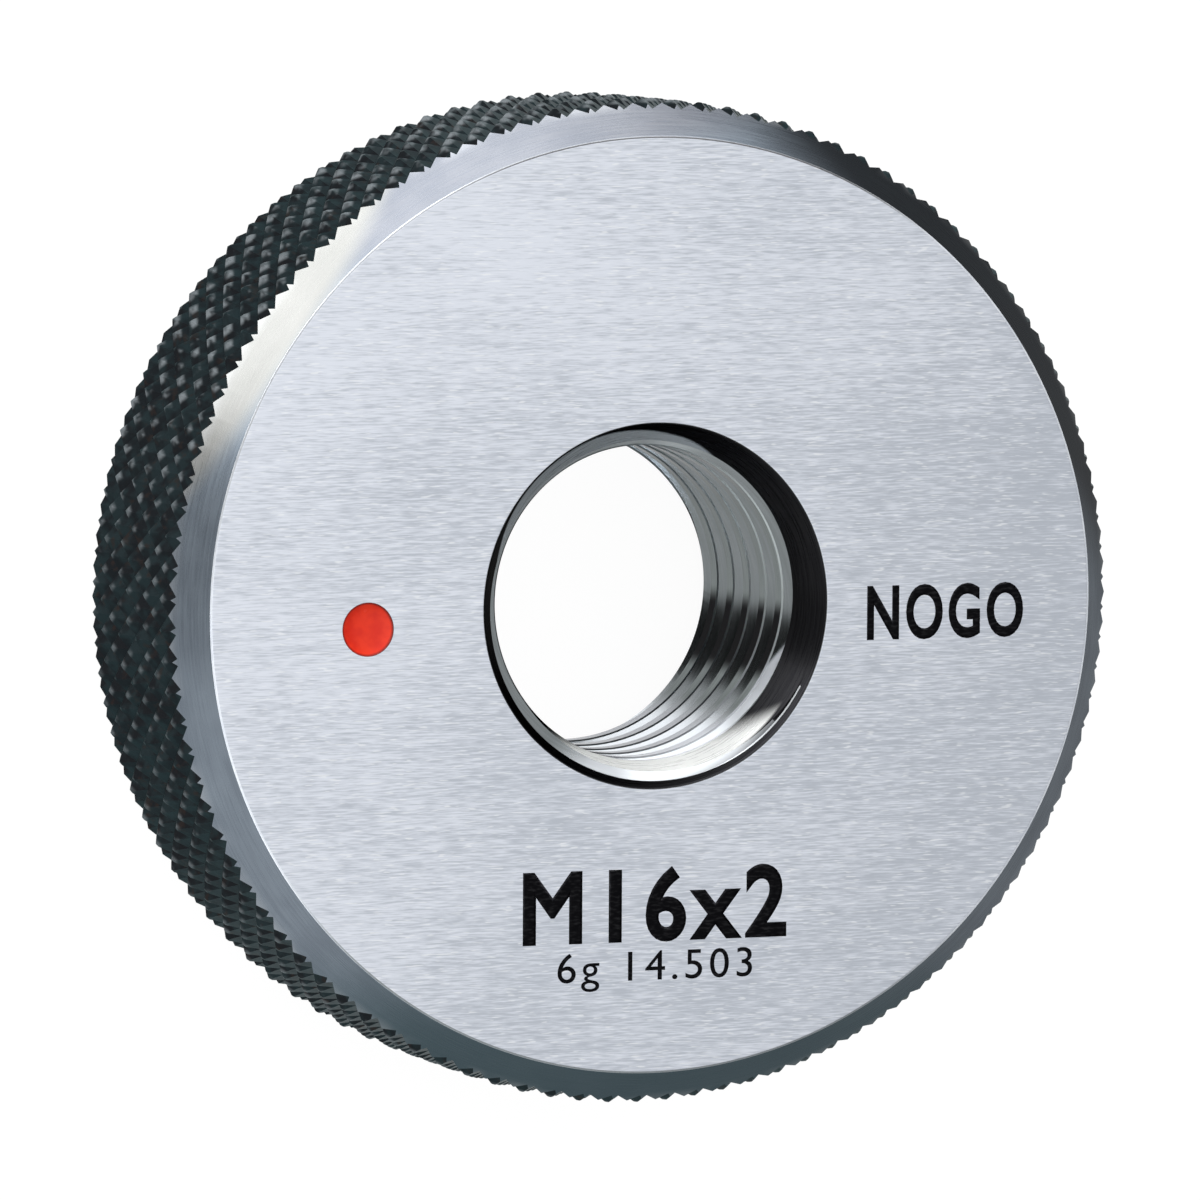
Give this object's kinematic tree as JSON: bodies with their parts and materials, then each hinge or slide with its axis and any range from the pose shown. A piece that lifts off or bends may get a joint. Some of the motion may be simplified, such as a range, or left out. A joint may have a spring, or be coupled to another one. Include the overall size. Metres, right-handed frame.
{
  "type": "thread ring gauge",
  "caption": "Thin knurled steel ring with bevelled rims, a countersunk threaded bore for checking outside threads, and a red enamel spot on the marked face.",
  "frame": {"origin": "centre of the ring's back face, on the axis of the bore", "axes": "+Z along the bore from the back face to the marked face; +X to the right and +Y up as someone reads the marked face, so the red spot is towards -X"},
  "size_m": [0.045, 0.045, 0.014],
  "materials": {
    "gauge_steel": "ground faces with fine streaks, black-oxide knurl and countersinks",
    "red_enamel": "glossy enamel filled into a shallow pocket"
  },
  "bodies": {
    "root": {"gauge_ring": "gauge_steel", "red_dot": "red_enamel"}
  },
  "joints": []
}
